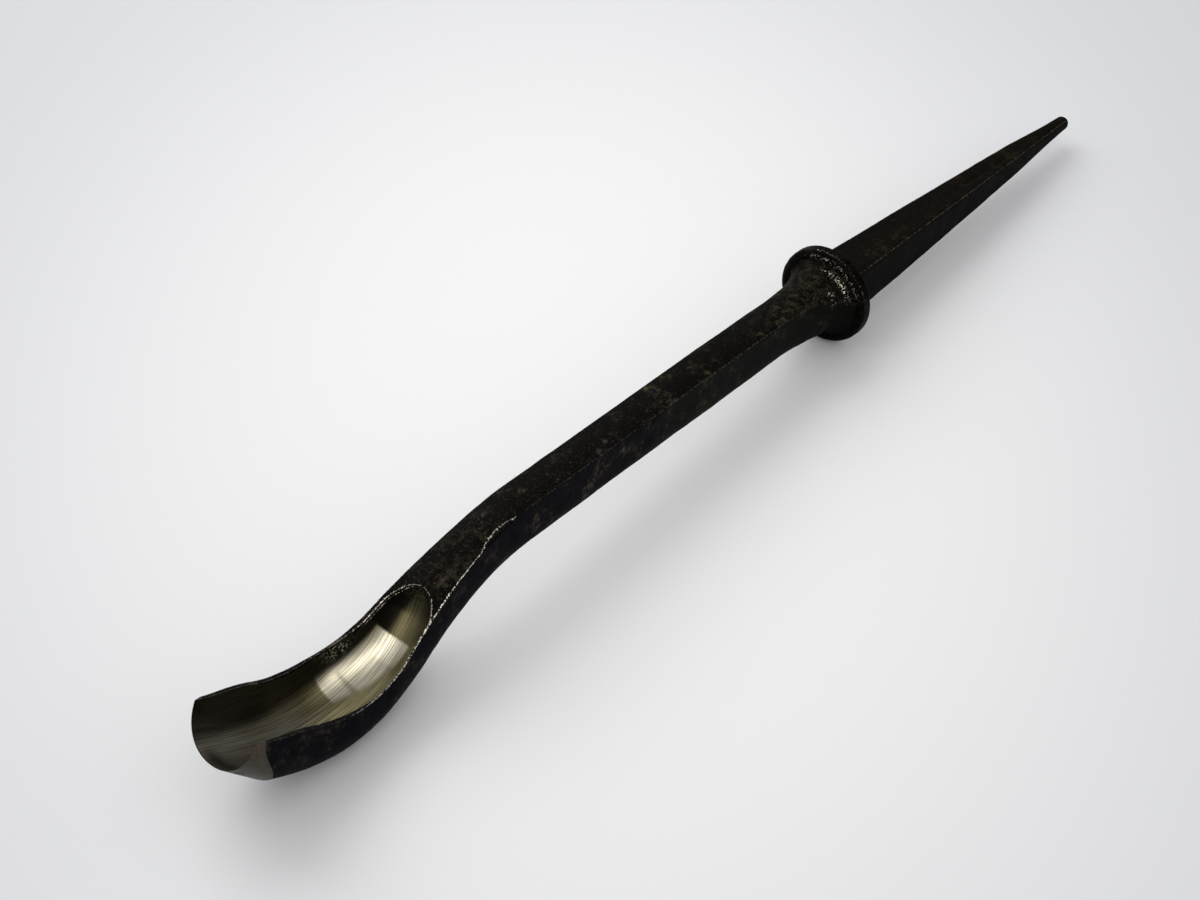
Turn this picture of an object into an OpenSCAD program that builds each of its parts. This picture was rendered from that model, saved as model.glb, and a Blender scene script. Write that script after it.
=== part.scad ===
// Bent carving gouge without its handle: spoon-shaped blade, forged shank, round bolster and square tang.
// It lies as it rests on a bench: on the bolster's rim and the spoon's belly, with the hollow facing up.

/* [Cutting edge] */
// Width of the cutting edge from corner to corner
edge_w = 12; // [9:0.1:12.4]
// Depth of the hollow at the cutting edge
edge_depth = 6.2; // [5:0.1:8]
// Thickness of the metal under the hollow
floor_t = 2; // [1.4:0.1:2.8]
// Thickness of the side walls at the rim
lip_t = 0.4; // [0.3:0.05:0.8]
// Angle of the ground bevel outside the edge
bevel_angle = 20; // [14:1:30]

/* [Spoon] */
// Width of the spoon where it is widest
bowl_w = 12.4; // [12.4:0.1:17]
// Height of the spoon's sides just behind the bevel
heel_h = 8.9; // [7.6:0.1:11]
// Radius of the bend at the neck, along its underside
neck_radius = 42; // [30:1:60]
// Radius of the bend at the belly, along its underside
belly_radius = 27.4; // [20:1:40]
// Angle by which the neck drops from the line of the shank
neck_drop = 32.3; // [25:1:40]
// Angle by which the mouth rises from the line of the shank
mouth_rise = 27.2; // [15:0.5:35]
// Length of the straight mouth past the belly bend
mouth_len = 10.2; // [7.5:0.1:14]
// Distance along the neck bend to the end of the hollow
hollow_start = 17.2; // [13:0.5:20]

/* [Shank] */
// Distance from the back of the bolster to the neck bend
bend_at = 74.1; // [62:0.1:100]
// Distance from the back of the bolster to the weld between blade and shank
weld_at = 45; // [30:1:56]
// Width of the shank
shank_w = 5.75; // [4:0.1:7]
// Height of the shank's flat sides
shank_h = 7.2; // [5:0.1:7.4]
// Length of the flare that runs out into the bolster
flare_len = 14.5; // [8:0.5:20]

/* [Bolster] */
// Diameter of the bolster
bolster_d = 16; // [14:0.5:22]
// Thickness of the bolster with its bead
bolster_t = 2.2; // [1.6:0.1:5]

/* [Tang] */
// Width of the square tang where it leaves the bolster
tang_w = 8.1; // [5:0.1:8.3]
// Length of the tang behind the bolster
tang_len = 72.4; // [45:0.5:90]
// Width of the tang at its tip
tang_tip_w = 2.3; // [1:0.1:3]

/* [Hidden] */

steel_colour = "#4a4843";
iron_colour = "#33312d";
collar_colour = "#2b2926";

// Rises smoothly from 0 at position a to 1 at position b
function ease(a, b, x) =
    let (q = max(0, min(1, (x - a) / (b - a))))
    q * q * (3 - 2 * q);
function mix(a, b, k) = a + (b - a) * k;
function arc_len(radius, angle) = radius * angle * PI / 180;
// Quarter of an ellipse, from 0 at d = 0 to 1 at d = len
function oval(d, len) =
    let (q = max(0, min(1, d / len)))
    sqrt(1 - (1 - q) * (1 - q));

// The bar is described by stations s, measured along its underside from the back of the bolster
bolster_r = bolster_d / 2;
bead_r = 0.9;
bead_stand = 0.2;
seat_at = bolster_t - bead_stand;
shank_under = 3.35;
neck_end = bend_at + arc_len(neck_radius, neck_drop);
belly_end = neck_end + arc_len(belly_radius, neck_drop + mouth_rise);
edge_at = belly_end + mouth_len;
hollow_at = bend_at + hollow_start;

// Angle by which the underside rises at station s, negative where it drops
function slope(s) =
    s < bend_at ? 0
    : s < neck_end ? -(s - bend_at) / arc_len(neck_radius, 1)
    : s < belly_end ? -neck_drop + (s - neck_end) / arc_len(belly_radius, 1)
    : mouth_rise;

function up(angle) = [sin(angle), cos(angle)];
function along(angle) = [-cos(angle), sin(angle)];

neck_centre = [-bend_at, -shank_under - neck_radius];
neck_foot = neck_centre + neck_radius * up(-neck_drop);
belly_centre = neck_foot + belly_radius * up(-neck_drop);
mouth_foot = belly_centre - belly_radius * up(mouth_rise);

// Where the bar meets the bolster it runs out in a quarter hollow to a round foot inside the bead
bead_drop = bead_r - bead_stand;
foot_r = bolster_r - bead_r - sqrt(bead_r * bead_r - bead_drop * bead_drop);
function flare(s) = 1 - oval(s - seat_at, flare_len);

// Point [x, z] on the underside at station s, before the gouge is laid down
function under(s) =
    s < bend_at ? [-s, -mix(shank_under, foot_r, flare(s))]
    : s < neck_end ? neck_centre + neck_radius * up(slope(s))
    : s < belly_end ? belly_centre - belly_radius * up(slope(s))
    : mouth_foot + (s - belly_end) * along(mouth_rise);

// Half the width of the bar at station s
shank_swell = 0.2;
swell_lead = 2.8;
swell_len = 38.6;
mouth_blend = 9;
swell_from = bend_at + swell_lead;
mouth_from = edge_at - mouth_blend;
function half_w(s) =
    mix(shank_w / 2, foot_r, flare(s))
    + shank_swell * (1 - ease(seat_at, weld_at, s))
    + (bowl_w - shank_w) / 2 * ease(swell_from, swell_from + swell_len, s)
    - (bowl_w - edge_w) / 2 * ease(mouth_from, edge_at, s);

// Height of the side wall at station s, from the underside to the ridge
waist_drop = 0.6;
waist_h = shank_h - waist_drop;
edge_h = edge_depth + floor_t;
function side_h(s) =
    s < bend_at ? mix(shank_h, foot_r, flare(s))
    : mix(shank_h, waist_h, ease(bend_at, hollow_at, s))
        + (heel_h - waist_h) * ease(hollow_at, mouth_from, s)
        + (edge_h - heel_h) * ease(mouth_from, edge_at, s);

// Bulge of the top face above the ridges, which ends in a half circle at the foot
shank_crown = 0.35;
neck_crown = 0.6;
crown_fade = 14;
function crown(s) =
    s < bend_at ? mix(shank_crown, foot_r, flare(s))
    : mix(shank_crown, neck_crown, ease(bend_at, hollow_at, s))
        * (1 - ease(hollow_at, hollow_at + crown_fade, s));
round_by = 0.5;
foot_power = 0.5;
function rounding(s) = ease(0, round_by, flare(s));
function crown_power(s) = mix(1, foot_power, rounding(s));

// Squareness of the outer section: 2 is an ellipse, larger values are boxier
foot_square = 2;
bar_square = 7;
bowl_square = 3.2;
square_fade = 14;
function squareness(s) =
    s < bend_at ? mix(bar_square, foot_square, rounding(s))
    : mix(bar_square, bowl_square, ease(swell_from, hollow_at + square_fade, s));

// The hollow starts as a blunt half oval and widens until it reaches the side walls
hollow_tip_len = 10.5;
hollow_tip_half_w = 5.5;
hollow_run = 14;
hollow_square = 2.15;
solid_share = 0.985;
tip_share = 0.1;
tip_lead = 4;
least_half_w = 0.25;
function hollow_half_w(s) =
    s < hollow_at ? half_w(s) * mix(solid_share, tip_share, ease(hollow_at - tip_lead, hollow_at, s))
    : max(least_half_w, min(half_w(s) - lip_t, hollow_tip_half_w * oval(s - hollow_at, hollow_tip_len)));
function hollow_depth(s) =
    s < hollow_at ? 0 : (side_h(s) - floor_t) * oval(s - hollow_at, hollow_run);

// Points [y, height] of a section, t running from 0 to 180 under the bar or along the hollow
function signed_pow(v, e) = sign(v) * pow(abs(v), e);
function top_z(s, y) = side_h(s) + crown(s) * pow(max(0, 1 - pow(y / half_w(s), 2)), crown_power(s));
function wall_point(s, t) =
    let (e = 2 / squareness(s))
    [-half_w(s) * signed_pow(cos(t), e), side_h(s) * (1 - pow(sin(t), e))];
function top_point(s, t) =
    let (
        e = 2 / hollow_square,
        a = hollow_half_w(s),
        y = -a * signed_pow(cos(t), e)
    )
    s < hollow_at ? [y, top_z(s, y)] : [y, top_z(s, a) - hollow_depth(s) * pow(sin(t), e)];

// Puts a section point of station s into the gouge's own space
function place(s, p) =
    let (q = under(s) + p[1] * up(slope(s)))
    [q[0], p[0], q[1]];

// Angle at which the hollow's section faces the outer one's point t
function facing(t) =
    let (k = hollow_square / squareness(edge_at))
    atan2(signed_pow(sin(t), k), signed_pow(cos(t), k));

// The bevel starts nearer to the edge where the wall is thin
edge_land = 0.06;
function inner_point(t) = top_point(edge_at, facing(t));
function edge_wall(t) = wall_point(edge_at, t) - inner_point(t);
function bevel_start(t) = edge_at - norm(edge_wall(t)) / tan(bevel_angle);
function edge_point(t) = inner_point(t) + edge_land * edge_wall(t) / norm(edge_wall(t));

// A ring is one closed loop of points: along the outer wall, then back across the top
steps = 24;
angles = [for (j = [0:steps]) 180 * j / steps];
back_angles = [for (j = [steps:-1:0]) 180 * j / steps];
function ring(s) = concat(
    [for (t = angles) place(s, wall_point(s, t))],
    [for (t = back_angles) place(s, top_point(s, t))]
);
// Rings near the mouth lean more and more, so that the last one follows the start of the bevel
lean_run = 16;
lean_from = hollow_at + lean_run;
function leaning(k, t) = mix(lean_from, bevel_start(t), k);
function leaning_ring(k) = concat(
    [for (t = angles) place(leaning(k, t), wall_point(leaning(k, t), t))],
    [for (t = back_angles) place(leaning(k, t), top_point(leaning(k, t), t))]
);
edge_ring = concat(
    [for (t = angles) place(edge_at, edge_point(t))],
    [for (t = back_angles) place(edge_at, top_point(edge_at, t))]
);

// A solid skin over a list of rings, closed at both ends by strips between opposite points
module skin(rings) {
    n = len(rings[0]);
    last = (len(rings) - 1) * n;
    polyhedron(
        points = [for (r = rings) each r],
        faces = concat(
            [for (i = [0:len(rings) - 2], j = [0:n - 1])
                let (a = i * n + j, b = i * n + (j + 1) % n)
                each [[a, b, b + n], [a, b + n, a + n]]],
            [for (j = [0:n / 2 - 2]) each [[j, n - 1 - j, n - 2 - j], [j, n - 2 - j, j + 1]]],
            [for (j = [0:n / 2 - 2]) let (a = last + j, b = last + n - 2 - j)
                each [[a, a + 1, b], [a, b, b + 1]]]
        ),
        convexity = 6
    );
}

// Rounded square outline of the tang, with its corners at the same places for any size
tang_corner = 0.9;
corner_steps = 4;
function square_outline(half, corner) = [
    for (c = [0:3], k = [0:corner_steps])
        let (
            a = 90 * (c + k / corner_steps),
            m = 90 * c + 45,
            o = (half - corner) * sqrt(2)
        )
        [o * cos(m) + corner * cos(a), o * sin(m) + corner * sin(a)]
];
tang_r = tang_w / 2;
tip_r = tang_tip_w / 2;
tip_at = tang_len - tip_r;
tang_fullness = 1.08;
tip_round_share = 0.9;
tip_round_run = 0.25;
function tang_half(x) = mix(tang_r, tip_r, pow(x / tip_at, tang_fullness));
// Share of the half width that its corners take, which grows towards the tip
function corner_share(x) =
    mix(tang_corner / tang_r, tip_round_share, ease(tip_at * (1 - tip_round_run), tip_at, x));
function tang_ring(x, half) =
    [for (p = square_outline(half, corner_share(x) * half)) [x, p[0], p[1]]];

// The gouge lies on the lowest edge of the bolster and on the belly, which fixes its tilt
back_round = 0.3;
rim_foot = [-back_round, back_round - bolster_r];
foot_to_belly = belly_centre - rim_foot;
bearing = atan2(foot_to_belly[1], -foot_to_belly[0]);
tilt = asin((belly_radius - back_round) / norm(foot_to_belly)) - bearing;
function laid(p) = [p[0] * cos(tilt) + p[1] * sin(tilt), p[1] * cos(tilt) - p[0] * sin(tilt)];

// The origin is on the bench, under the middle of the gouge's length
edge_low = under(edge_at) + edge_point(90)[1] * up(mouth_rise);
front_x = laid(edge_low)[0];
back_x = laid([tang_len, 0])[0];
module lay_down() {
    translate([-(front_x + back_x) / 2, 0, back_round - laid(rim_foot)[1]])
        rotate([0, tilt, 0])
            children();
}

// Spoon-shaped blade: neck from the weld to the bend, hollow, mouth and ground bevel
neck_rings = 5;
bend_rings = 14;
tip_rings = 12;
mouth_rings = 20;
module blade() {
    color(steel_colour)
        lay_down()
            skin(concat(
                [for (i = [0:neck_rings]) ring(mix(weld_at, bend_at, i / neck_rings))],
                [for (i = [1:bend_rings]) ring(mix(bend_at, hollow_at - least_half_w, i / bend_rings))],
                [for (i = [0:tip_rings - 1]) ring(mix(hollow_at, lean_from, pow(i / tip_rings, 2)))],
                [for (i = [0:mouth_rings]) leaning_ring(i / mouth_rings)],
                [edge_ring]
            ));
}

// Forged bar between the blade and the bolster, with a flared foot
flare_rings = 12;
bar_rings = 6;
module shank() {
    flare_end = seat_at + flare_len;
    color(iron_colour)
        lay_down()
            skin(concat(
                [for (i = [0:flare_rings]) ring(mix(seat_at, flare_end, pow(i / flare_rings, 2)))],
                [for (i = [1:bar_rings]) ring(mix(flare_end, weld_at, i / bar_rings))]
            ));
}

// Round collar with a flat back, a beaded rim and a square hole for the tang's root
bead_in = 180 - asin(bead_drop / bead_r);
arc_steps = 12;
module bolster_profile() {
    polygon(concat(
        [[0, 0]],
        [for (k = [0:arc_steps]) let (a = 90 - 90 * k / arc_steps)
            [bolster_r - back_round + back_round * cos(a), -back_round + back_round * sin(a)]],
        [for (k = [0:2 * arc_steps]) let (a = bead_in * k / (2 * arc_steps))
            [bolster_r - bead_r + bead_r * cos(a), bead_r - bolster_t - bead_r * sin(a)]],
        [[0, -seat_at]]
    ));
}
module bolster() {
    color(collar_colour)
        lay_down()
            rotate([0, 90, 0])
                difference() {
                    rotate_extrude($fn = 96)
                        bolster_profile();
                    linear_extrude(height = 3 * bolster_t, center = true)
                        polygon(square_outline(tang_r, tang_corner));
                }
}

// Square tang for the handle: its root fills the bolster's hole and butts on the shank's foot
tang_rings = 16;
dome_steps = 6;
module tang() {
    color(iron_colour)
        lay_down()
            skin(concat(
                [for (k = [dome_steps - 1:-1:1]) let (a = 90 * k / dome_steps)
                    tang_ring(tip_at + tip_r * sin(a), tip_r * cos(a))],
                [for (i = [tang_rings:-1:0]) let (x = tip_at * i / tang_rings) tang_ring(x, tang_half(x))],
                [tang_ring(-seat_at, tang_r)]
            ));
}

blade();
shank();
bolster();
tang();
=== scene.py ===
import math

import bmesh
import bpy
import numpy as np
from mathutils import Matrix, Vector, noise


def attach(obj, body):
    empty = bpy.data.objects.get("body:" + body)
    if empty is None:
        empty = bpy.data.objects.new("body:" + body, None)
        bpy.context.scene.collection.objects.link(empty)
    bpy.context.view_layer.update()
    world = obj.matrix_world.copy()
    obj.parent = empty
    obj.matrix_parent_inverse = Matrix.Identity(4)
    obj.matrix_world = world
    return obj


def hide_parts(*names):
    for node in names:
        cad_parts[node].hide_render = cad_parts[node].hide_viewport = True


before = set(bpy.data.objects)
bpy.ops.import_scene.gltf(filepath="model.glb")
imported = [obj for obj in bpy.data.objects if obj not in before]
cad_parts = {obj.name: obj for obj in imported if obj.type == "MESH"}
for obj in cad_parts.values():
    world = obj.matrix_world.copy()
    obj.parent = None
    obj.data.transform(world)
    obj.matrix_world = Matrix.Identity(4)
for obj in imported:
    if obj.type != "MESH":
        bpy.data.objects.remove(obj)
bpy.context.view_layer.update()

# Bent carving gouge without its handle. Shapes are worked out in mm and become metres where a mesh is made.
# A station s is a distance along the bar, from the bolster's back to the cutting edge.
MM = 0.001


# ---- sizes of the forging, the same as the solids'

# Cutting edge
EDGE_W = 12.0
EDGE_DEPTH = 6.2
FLOOR_T = 2.0
LIP_T = 0.4
BEVEL_ANGLE = 20.0
EDGE_LAND = 0.06
# Spoon
BOWL_W = 12.4
HEEL_H = 8.9
NECK_RADIUS = 42.0
BELLY_RADIUS = 27.4
NECK_DROP = 32.3
MOUTH_RISE = 27.2
MOUTH_LEN = 10.2
MOUTH_BLEND = 9.0
WAIST_DROP = 0.6
NECK_CROWN = 0.6
CROWN_FADE = 14.0
BOWL_SQUARE = 3.2
SQUARE_FADE = 14.0
LEAN_LEN = 16.0
# Hollow
HOLLOW_START = 17.2
HOLLOW_TIP_LEN = 10.5
HOLLOW_TIP_HALF_W = 5.5
HOLLOW_RUN = 14.0
HOLLOW_SQUARE = 2.15
SOLID_SHARE = 0.985
TIP_SHARE = 0.1
TIP_LEAD = 4.0
LEAST_HALF_W = 0.25
# Shank
BEND_AT = 74.1
WELD_AT = 45.0
SHANK_W = 5.75
SHANK_H = 7.2
SHANK_UNDER = 3.35
SHANK_SWELL = 0.2
SHANK_CROWN = 0.35
BAR_SQUARE = 7.0
FLARE_LEN = 14.5
SWELL_LEAD = 2.8
SWELL_LEN = 38.6
# Bolster
BOLSTER_D = 16.0
BOLSTER_T = 2.2
BOLSTER_R = BOLSTER_D / 2
BEAD_R = 0.9
BEAD_STAND = 0.2
BEAD_DROP = BEAD_R - BEAD_STAND
SEAT_AT = BOLSTER_T - BEAD_STAND
FOOT_R = BOLSTER_R - BEAD_R - math.sqrt(BEAD_R ** 2 - BEAD_DROP ** 2)
BACK_ROUND = 0.3
# Tang
TANG_W = 8.1
TANG_LEN = 72.4
TANG_TIP_W = 2.3
TANG_CORNER = 0.9
TANG_FULLNESS = 1.08
TIP_ROUND_SHARE = 0.9
TIP_ROUND_RUN = 0.25


# ---- sizes that are too fine for the solids

# The hollow's blunt end sits a little to the near side, and its rim is broken by a narrow filed chamfer
APEX_SHIFT = 0.3
APEX_SHIFT_LEAD, APEX_SHIFT_RUN = 1, 2
APEX_SHIFT_FADE = 98, 110
RIM_BREAK_W = 0.26
RIM_BREAK_D = 0.42
RIM_BREAK_RUN = 0.6
RIM_BREAK_SHARE = 0.45
RIM_BREAK_FADE = 108, 122
RIM_BREAK_TO = 124
# A file left a small flat on the near ridge of the neck, which faces up and out
FLAT_FROM = 77.2
FLAT_TO = 83.8
FLAT_DEPTH = 0.27
FLAT_OUT_Y, FLAT_OUT_H = -0.62, 0.785
FLAT_LEAST_DEPTH = 0.03
FLAT_BORDER_NARROWER = 2.2
# The hammer left lumps on every forged skin, and scale adds a fine grit: height and size in mm, and a seed
SKIN_LUMPS = ((0.07, 7.0, 1), (0.035, 2.2, 2), (0.012, 0.6, 3))
COLLAR_LUMPS = ((0.07, 3.4, 5), (0.05, 0.9, 6))
FOOT_PITS = (0.05, 0.9, 7)
# The tang has a long shallow dent where the hammer closed a fold, and a corner knocked off beside the collar
FOLD_Y = -0.55
FOLD_HALF_W = 0.55
FOLD_DEPTH = 0.16
FOLD_SPAN = 28, 36, 52, 60
KNOCK_DEPTH = 0.9
KNOCK_RISE = 1.1
KNOCK_LEN = 7
# How far smoothing rounds the corners: of the shank's foot, of the bar, and of the hollow's rim
FOOT_SOFTNESS = 0.55
BAR_SOFTNESS = 0.12
RIM_SOFTNESS = 0.05
# Corners get sharper before the hollow, and again by this share up to a little before the edge
RIM_SHARPENS_OVER = 6
MOUTH_SHARPER = 0.8
MOUTH_SHARP_BEFORE = 6


def arc_len(radius, angle):
    return radius * math.radians(angle)


NECK_END = BEND_AT + arc_len(NECK_RADIUS, NECK_DROP)
BELLY_END = NECK_END + arc_len(BELLY_RADIUS, NECK_DROP + MOUTH_RISE)
EDGE_AT = BELLY_END + MOUTH_LEN
HOLLOW_AT = BEND_AT + HOLLOW_START
SWELL_FROM = BEND_AT + SWELL_LEAD
MOUTH_FROM = EDGE_AT - MOUTH_BLEND
WAIST_H = SHANK_H - WAIST_DROP
EDGE_H = EDGE_DEPTH + FLOOR_T
LEAN_FROM = HOLLOW_AT + LEAN_LEN


def ease(a, b, x):
    """Rises smoothly from 0 at a to 1 at b."""
    q = np.clip((x - a) / (b - a), 0, 1)
    return q * q * (3 - 2 * q)


def fall(a, b, x):
    """Falls smoothly from 1 at a to 0 at b."""
    return 1 - ease(a, b, x)


def band(x, a, b, c, d):
    """Rises smoothly from a to b, stays at 1, and falls from c to d."""
    return ease(a, b, x) * fall(c, d, x)


def spot(x, middle, spread):
    """A soft hump that is 1 high at its middle."""
    return np.exp(-((x - middle) / spread) ** 2)


def mix(a, b, k):
    return a + (b - a) * k


def oval(d, length):
    """Quarter of an ellipse, from 0 at d = 0 to 1 at the full length."""
    q = np.clip(d / length, 0, 1)
    return np.sqrt(1 - (1 - q) ** 2)


def up(angle):
    """The way up from an underside that rises by an angle, as x and z."""
    a = np.radians(angle)
    return np.stack([np.sin(a), np.cos(a)])


# ---- the bar's underside, which runs straight, over the neck, round the belly and up the mouth

NECK_CENTRE = np.array([-BEND_AT, -SHANK_UNDER - NECK_RADIUS])
NECK_FOOT = NECK_CENTRE + NECK_RADIUS * up(-NECK_DROP)
BELLY_CENTRE = NECK_FOOT + BELLY_RADIUS * up(-NECK_DROP)
MOUTH_FOOT = BELLY_CENTRE - BELLY_RADIUS * up(MOUTH_RISE)


def along_bar(s, shank, neck, belly, mouth):
    """Picks the value of the part of the bar that each station is in."""
    return np.where(s < BEND_AT, shank, np.where(s < NECK_END, neck, np.where(s < BELLY_END, belly, mouth)))


def slope(s):
    """Angle by which the underside rises towards the edge."""
    neck = -(s - BEND_AT) / arc_len(NECK_RADIUS, 1)
    belly = -NECK_DROP + (s - NECK_END) / arc_len(BELLY_RADIUS, 1)
    return along_bar(s, 0, neck, belly, MOUTH_RISE)


def flare(s):
    """How far the shank has widened into its foot on the bolster, from 0 to 1."""
    return 1 - oval(s - SEAT_AT, FLARE_LEN)


def under(s):
    """Points on the underside at stations s, as an array of x and an array of z."""
    rise = up(slope(s))
    shank = np.stack([-s, -mix(SHANK_UNDER, FOOT_R, flare(s))])
    column = (2,) + (1,) * s.ndim
    neck = NECK_CENTRE.reshape(column) + NECK_RADIUS * rise
    belly = BELLY_CENTRE.reshape(column) - BELLY_RADIUS * rise
    m = math.radians(MOUTH_RISE)
    ahead = np.array([-math.cos(m), math.sin(m)]).reshape(column)
    mouth = MOUTH_FOOT.reshape(column) + (s - BELLY_END) * ahead
    return along_bar(s, shank, neck, belly, mouth)


# ---- the bar's section at each station

def half_w(s):
    return (
        mix(SHANK_W / 2, FOOT_R, flare(s))
        + SHANK_SWELL * fall(SEAT_AT, WELD_AT, s)
        + (BOWL_W - SHANK_W) / 2 * ease(SWELL_FROM, SWELL_FROM + SWELL_LEN, s)
        - (BOWL_W - EDGE_W) / 2 * ease(MOUTH_FROM, EDGE_AT, s)
    )


def side_h(s):
    """Height of the flat sides."""
    bar = mix(SHANK_H, FOOT_R, flare(s))
    spoon = (
        mix(SHANK_H, WAIST_H, ease(BEND_AT, HOLLOW_AT, s))
        + (HEEL_H - WAIST_H) * ease(HOLLOW_AT, MOUTH_FROM, s)
        + (EDGE_H - HEEL_H) * ease(MOUTH_FROM, EDGE_AT, s)
    )
    return np.where(s < BEND_AT, bar, spoon)


def crown(s):
    """Rise of the top above the sides."""
    bar = mix(SHANK_CROWN, FOOT_R, flare(s))
    neck = mix(SHANK_CROWN, NECK_CROWN, ease(BEND_AT, HOLLOW_AT, s))
    return np.where(s < BEND_AT, bar, neck * fall(HOLLOW_AT, HOLLOW_AT + CROWN_FADE, s))


def crown_power(s):
    """A low arch on the bar, and half a circle at the foot."""
    return mix(1, 0.5, ease(0, 0.5, flare(s)))


def squareness(s):
    """Power of the underside's superellipse: square on the bar, round at the foot, a U in the spoon."""
    bar = mix(BAR_SQUARE, 2, ease(0, 0.5, flare(s)))
    spoon = mix(BAR_SQUARE, BOWL_SQUARE, ease(SWELL_FROM, HOLLOW_AT + SQUARE_FADE, s))
    return np.where(s < BEND_AT, bar, spoon)


def hollow_half_w(s):
    solid = half_w(s) * mix(SOLID_SHARE, TIP_SHARE, ease(HOLLOW_AT - TIP_LEAD, HOLLOW_AT, s))
    open_part = np.minimum(half_w(s) - LIP_T, HOLLOW_TIP_HALF_W * oval(s - HOLLOW_AT, HOLLOW_TIP_LEN))
    return np.where(s < HOLLOW_AT, solid, np.maximum(LEAST_HALF_W, open_part))


def hollow_depth(s):
    return np.where(s < HOLLOW_AT, 0, (side_h(s) - FLOOR_T) * oval(s - HOLLOW_AT, HOLLOW_RUN))


def top_z(s, y):
    return side_h(s) + crown(s) * np.maximum(0, 1 - (y / half_w(s)) ** 2) ** crown_power(s)


def superellipse(phi, power):
    """Across and down shares of a half superellipse, phi running from 0 to pi."""
    c, d = np.cos(phi), np.sin(phi)
    r = (np.abs(c) ** power + np.abs(d) ** power) ** (-1 / power)
    return -r * c, r * d


def wall(s, phi):
    """Breadth and height of the bar's outside."""
    across, down = superellipse(phi, squareness(s))
    return half_w(s) * across, side_h(s) * (1 - down)


def hollow(s, phi):
    """Breadth and height of the hollow, or of the top where there is none yet."""
    across, down = superellipse(phi, HOLLOW_SQUARE)
    shift = APEX_SHIFT * ease(HOLLOW_AT - APEX_SHIFT_LEAD, HOLLOW_AT + APEX_SHIFT_RUN, s)
    shift = shift * fall(*APEX_SHIFT_FADE, s)
    reach = np.maximum(LEAST_HALF_W, hollow_half_w(s) - shift)
    y = reach * across - shift
    depth = hollow_depth(s) * down
    broken = np.clip(1 - depth / RIM_BREAK_D, 0, 1) * ease(HOLLOW_AT, HOLLOW_AT + RIM_BREAK_RUN, s)
    # Where the wall is thin, the chamfer takes only a share of it
    room = np.minimum(RIM_BREAK_W, RIM_BREAK_SHARE * (half_w(s) - reach))
    y = y + np.sign(across) * broken * room * fall(*RIM_BREAK_FADE, s)
    return y, np.where(s < HOLLOW_AT, top_z(s, y), top_z(s, reach) - depth)


# ---- how the gouge lies: on the bolster's rim and on the belly, with the origin under its middle

RIM_FOOT = np.array([-BACK_ROUND, BACK_ROUND - BOLSTER_R])
TO_BELLY = BELLY_CENTRE - RIM_FOOT
TILT = math.asin((BELLY_RADIUS - BACK_ROUND) / math.hypot(*TO_BELLY)) - math.atan2(TO_BELLY[1], -TO_BELLY[0])
EDGE_S = np.array(EDGE_AT)


def laid(x, z):
    return x * math.cos(TILT) + z * math.sin(TILT), z * math.cos(TILT) - x * math.sin(TILT)


def place(s, y, h):
    """Points of sections at stations s in the gouge's own space, as an array with x, y and z last."""
    s, y, h = np.broadcast_arrays(s, y, h)
    foot, rise = under(s), up(slope(s))
    return np.stack([foot[0] + h * rise[0], y, foot[1] + h * rise[1]], -1)


def edge_pair(phi):
    """Wall point and hollow point that face each other at the edge."""
    return np.stack(wall(EDGE_S, phi)), np.stack(hollow(EDGE_S, phi))


def edge_outer(phi):
    """Outer side of the edge, which a thin land keeps from being quite sharp."""
    w, facing = edge_pair(phi)
    return facing + EDGE_LAND * (w - facing) / np.hypot(*(w - facing))


def bevel_start(phi):
    """Station where the bevel begins on each line of the grind."""
    w, facing = edge_pair(phi)
    return EDGE_AT - np.hypot(*(w - facing)) / math.tan(math.radians(BEVEL_ANGLE))


def middle_and_lift():
    """Shifts along x and z that put the gouge where the solids are."""
    lowest = edge_outer(np.array([math.pi / 2]))
    low = under(EDGE_S) + lowest[1, 0] * up(np.array(MOUTH_RISE))
    front = laid(low[0], low[1])[0]
    back = laid(TANG_LEN, 0)[0]
    return (front + back) / 2, BACK_ROUND - laid(*RIM_FOOT)[1]


MIDDLE, LIFT = middle_and_lift()


# ---- making skins

def smooth_loops(loops, sigma):
    """Rounds the corners of closed loops of 2-D points by about sigma mm, and keeps each point's place."""
    out = loops.copy()
    for i, loop in enumerate(loops):
        closed = np.vstack([loop, loop[:1]])
        length = np.concatenate([[0], np.cumsum(np.hypot(*np.diff(closed, axis=0).T))])
        count = int(max(64, length[-1] / (sigma[i] / 3)))
        at = np.arange(count) * length[-1] / count
        even = np.stack([np.interp(at, length, closed[:, k]) for k in (0, 1)], 1)
        f = np.fft.rfftfreq(count, length[-1] / count)
        low = np.exp(-2 * (math.pi * f * sigma[i]) ** 2)[:, None]
        soft = np.fft.irfft(np.fft.rfft(even, axis=0) * low, count, axis=0)
        soft = np.vstack([soft, soft[:1]])
        at = np.append(at, length[-1])
        out[i] = np.stack([np.interp(length[:-1], at, soft[:, k]) for k in (0, 1)], 1)
    return out


def unit(n):
    return n / np.maximum(1e-9, np.linalg.norm(n, axis=-1, keepdims=True))


def around(points):
    """Direction along each closed loop of a grid of points."""
    return np.roll(points, -1, 1) - np.roll(points, 1, 1)


def grid_normals(points):
    """Outward normals of a grid of points, rings by loop."""
    return unit(np.cross(around(points), np.gradient(points, axis=0)))


def lumps(points, height, size, seed):
    """Smooth noise over points, with lumps of the given height and size in mm."""
    shift = Vector((seed * 17.3, seed * 5.1, seed * 9.7))
    flat = points.reshape(-1, 3) / size
    values = [noise.noise(Vector(p) + shift) for p in flat.tolist()]
    return height * np.array(values).reshape(points.shape[:-1])


def hammered(points, calm):
    """Pushes a forged skin in and out a little, less where calm is near 1."""
    push = sum(lumps(points, *kind) for kind in SKIN_LUMPS)
    return points + grid_normals(points) * (push * (1 - calm))[..., None]


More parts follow.
